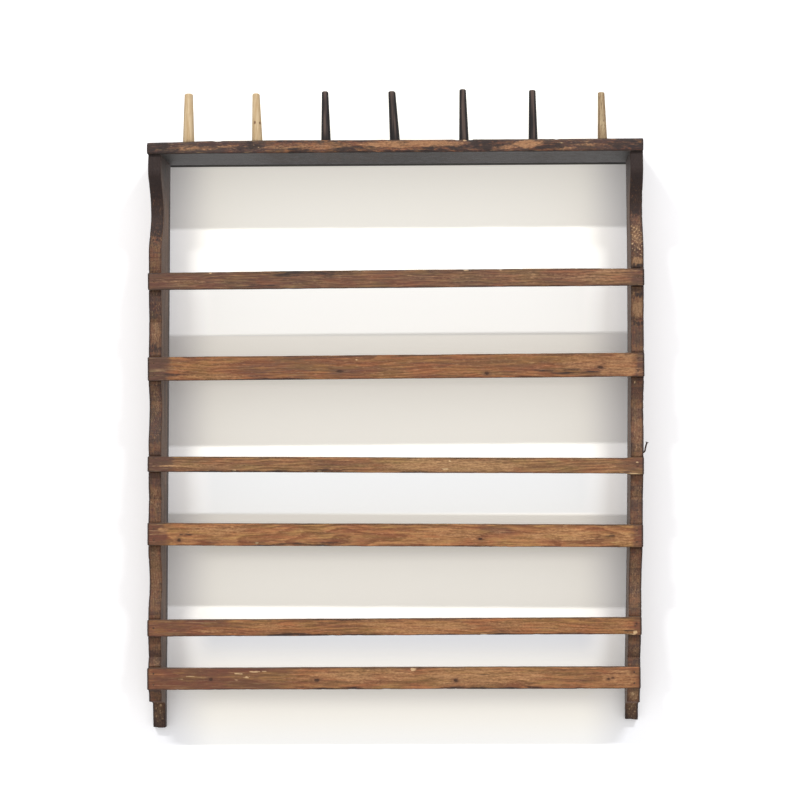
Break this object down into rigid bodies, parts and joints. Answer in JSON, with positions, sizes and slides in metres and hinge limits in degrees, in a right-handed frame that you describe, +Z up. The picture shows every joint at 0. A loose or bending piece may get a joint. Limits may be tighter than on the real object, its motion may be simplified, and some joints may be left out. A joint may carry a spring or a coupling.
{
  "type": "wall plate rack",
  "caption": "Wall-hung pine plate rack: scalloped side boards carry shelves behind wide front rails, thin guard rails and a top board with upright pegs.",
  "frame": {"origin": "middle of the top board's back edge, on the wall plane", "axes": "+X to the right seen from the room, +Y into the wall, +Z up"},
  "size_m": [0.9382, 0.15, 1.1987],
  "materials": {
    "top_wood": "worn dark stain over pine, orange where rubbed",
    "side_wood": "aged dark stain, grey-brown inside, matt",
    "rail_wood": "worn red-brown pine, satin",
    "shelf_wood": "aged stain, matt",
    "peg_fresh_wood": "bare whittled pine, matt",
    "peg_aged_wood": "aged bare wood, matt",
    "peg_dark_wood": "old near-black stain, matt",
    "nail_iron": "rusted dark iron"
  },
  "bodies": {
    "root": {"bent_nail": "nail_iron", "peg_1": "peg_fresh_wood", "peg_2": "peg_fresh_wood", "peg_3": "peg_dark_wood", "peg_4": "peg_dark_wood", "peg_5": "peg_dark_wood", "peg_6": "peg_dark_wood", "peg_7": "peg_aged_wood", "plate_rail_1": "rail_wood", "plate_rail_1_nail_left": "nail_iron", "plate_rail_1_nail_right": "nail_iron", "plate_rail_2": "rail_wood", "plate_rail_2_nail_left": "nail_iron", "plate_rail_2_nail_right": "nail_iron", "plate_rail_3": "rail_wood", "plate_rail_3_nail_left": "nail_iron", "plate_rail_3_nail_right": "nail_iron", "shelf_1": "shelf_wood", "shelf_1_nail_left_1": "nail_iron", "shelf_1_nail_left_2": "nail_iron", "shelf_1_nail_right_1": "nail_iron", "shelf_1_nail_right_2": "nail_iron", "shelf_2": "shelf_wood", "shelf_2_nail_left_1": "nail_iron", "shelf_2_nail_left_2": "nail_iron", "shelf_2_nail_right_1": "nail_iron", "shelf_2_nail_right_2": "nail_iron", "shelf_3": "shelf_wood", "shelf_3_nail_left_1": "nail_iron", "shelf_3_nail_left_2": "nail_iron", "shelf_3_nail_right_1": "nail_iron", "shelf_3_nail_right_2": "nail_iron", "shelf_rail_1": "rail_wood", "shelf_rail_1_nail_left_1": "nail_iron", "shelf_rail_1_nail_left_2": "nail_iron", "shelf_rail_1_nail_right_1": "nail_iron", "shelf_rail_1_nail_right_2": "nail_iron", "shelf_rail_2": "rail_wood", "shelf_rail_2_nail_left_1": "nail_iron", "shelf_rail_2_nail_left_2": "nail_iron", "shelf_rail_2_nail_right_1": "nail_iron", "shelf_rail_2_nail_right_2": "nail_iron", "shelf_rail_3": "rail_wood", "shelf_rail_3_nail_left_1": "nail_iron", "shelf_rail_3_nail_left_2": "nail_iron", "shelf_rail_3_nail_right_1": "nail_iron", "shelf_rail_3_nail_right_2": "nail_iron", "side_board_left": "side_wood", "side_board_right": "side_wood", "top_board": "top_wood", "top_nail_left_1": "nail_iron", "top_nail_left_2": "nail_iron", "top_nail_right_1": "nail_iron", "top_nail_right_2": "nail_iron"}
  },
  "joints": []
}
